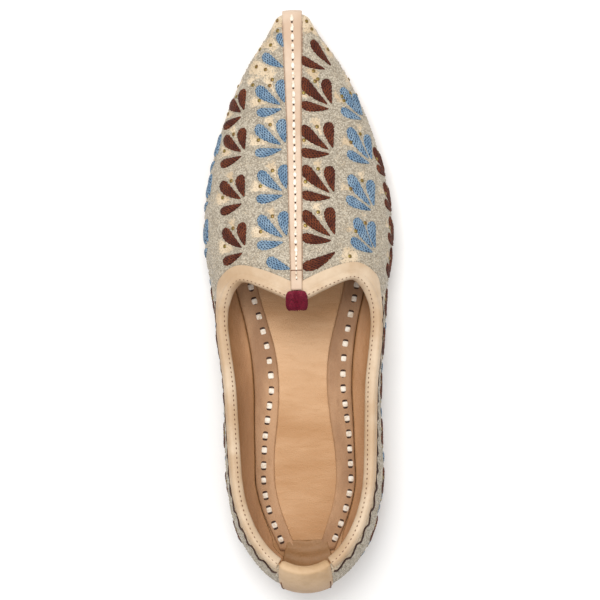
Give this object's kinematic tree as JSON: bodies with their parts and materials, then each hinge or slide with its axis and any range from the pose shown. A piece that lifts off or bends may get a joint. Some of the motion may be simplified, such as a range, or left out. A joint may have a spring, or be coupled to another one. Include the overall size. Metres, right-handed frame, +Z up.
{
  "type": "mojari shoe",
  "caption": "Pointed leather mojari slip-on with leaf-fan embroidery, bracket-shaped collar, ridge strip, wool tassel and low heel lift.",
  "frame": {"origin": "middle of the shoe's length and width, on the floor that it stands on", "axes": "+Z up, +Y along the foot towards the heel, X across the foot"},
  "size_m": [0.0846, 0.262, 0.0601],
  "materials": {
    "sole_leather": "matt bark-tanned sole leather with a burnished edge",
    "footbed_leather": "smooth light tan footbed with faint cross creases",
    "strip_leather": "mauve-brown leather laced with white rawhide",
    "embroidered_leather": "cream ground with silver couching, raised blue and brown chain-stitch petals and small gold sequins",
    "tan_leather": "smooth natural tan leather, satin, with stitched edges",
    "burgundy_wool": "matt twisted wool"
  },
  "bodies": {
    "root": {"outsole": "sole_leather", "heel_lift": "sole_leather", "insole": "footbed_leather", "insole_strip_left": "strip_leather", "insole_strip_right": "strip_leather", "upper": "embroidered_leather", "collar_binding_left": "tan_leather", "collar_binding_right": "tan_leather", "ridge_strip": "tan_leather", "heel_tab": "tan_leather", "tassel": "burgundy_wool"}
  },
  "joints": []
}
